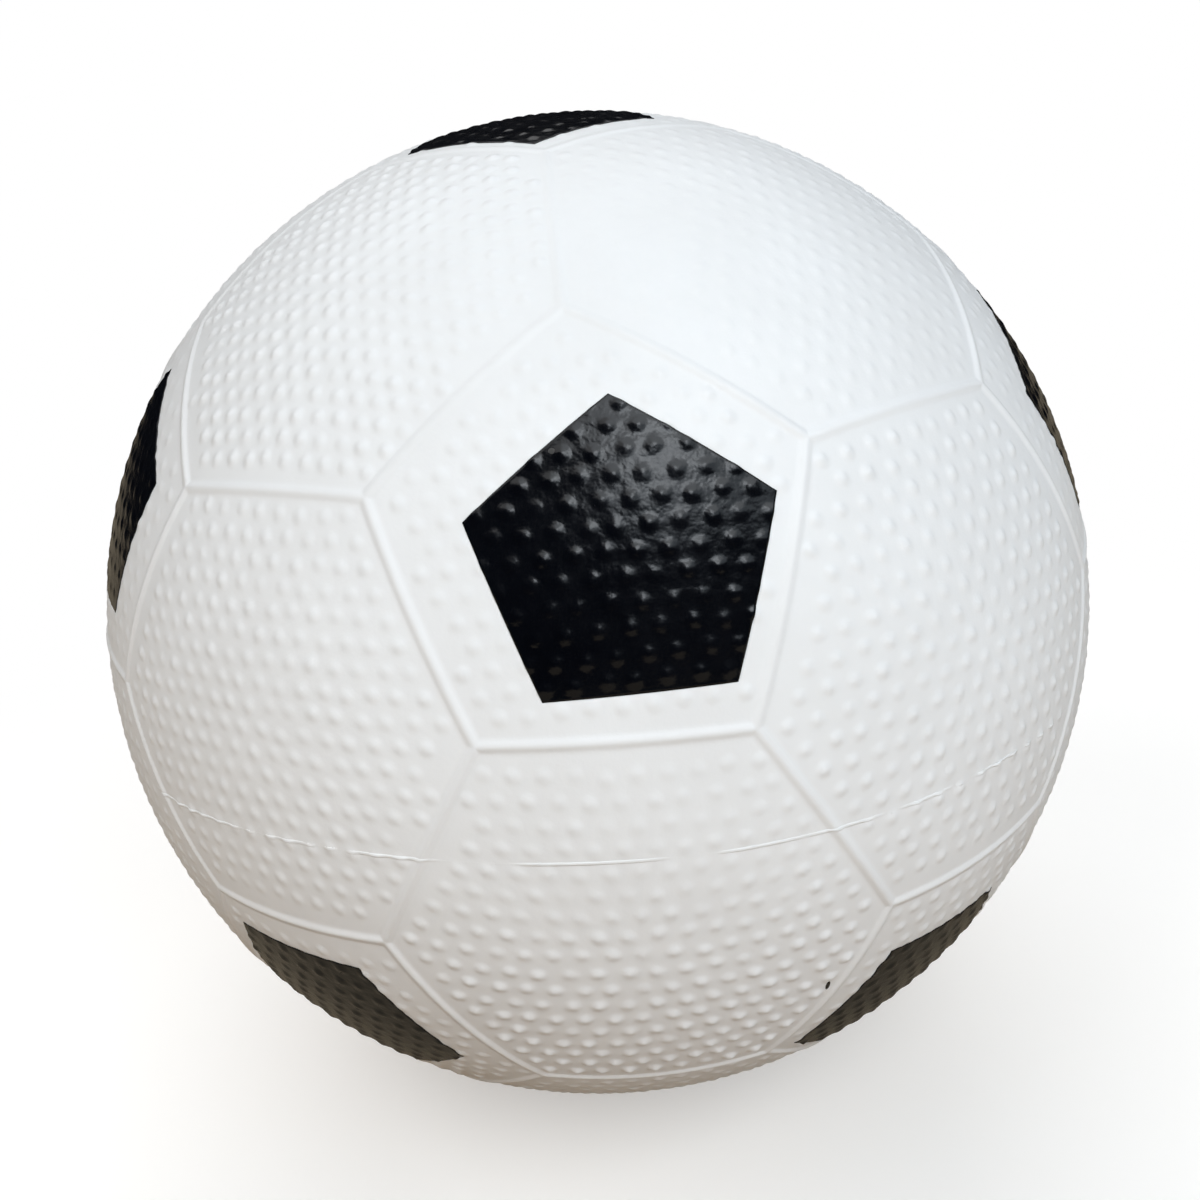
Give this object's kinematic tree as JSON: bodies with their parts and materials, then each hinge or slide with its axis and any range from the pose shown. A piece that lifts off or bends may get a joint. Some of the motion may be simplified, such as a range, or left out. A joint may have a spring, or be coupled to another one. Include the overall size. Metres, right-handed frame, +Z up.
{
  "type": "inflatable soccer ball",
  "caption": "Round inflatable vinyl play ball: white skin with raised ridges along pentagon and hexagon panels, printed black pentagons and a needle valve with a plug.",
  "frame": {"origin": "middle of the flat contact patch under the ball, straight below the ball's centre", "axes": "+Z up, along the mould's axis through the top and bottom pentagons; -Y to the front, where the pentagon of the picture's middle lies; the valve is in the upper back"},
  "size_m": [0.2208, 0.2196, 0.2199],
  "materials": {
    "white_vinyl": "pebbled soft vinyl, semi-gloss",
    "black_ink": "satin printed ink over the pebbled skin",
    "valve_vinyl": "smooth moulded vinyl",
    "valve_rubber": "soft rubber, matte"
  },
  "bodies": {
    "ball": {"skin": "white_vinyl", "black_pentagon_top": "black_ink", "black_pentagon_front": "black_ink", "black_pentagon_right": "black_ink", "black_pentagon_back_right": "black_ink", "black_pentagon_back_left": "black_ink", "black_pentagon_left": "black_ink", "black_pentagon_lower_right": "black_ink", "black_pentagon_lower_right_back": "black_ink", "black_pentagon_lower_back": "black_ink", "black_pentagon_lower_left_back": "black_ink", "black_pentagon_lower_left": "black_ink", "black_pentagon_bottom": "black_ink", "valve_housing": "valve_vinyl"},
    "plug": {"valve_plug": "valve_rubber"}
  },
  "joints": [
    {"name": "plug_pull", "type": "slide", "parent": "ball", "child": "plug", "axis": [0, 0.6157, 0.788], "range_m": [0, 0.018]}
  ]
}
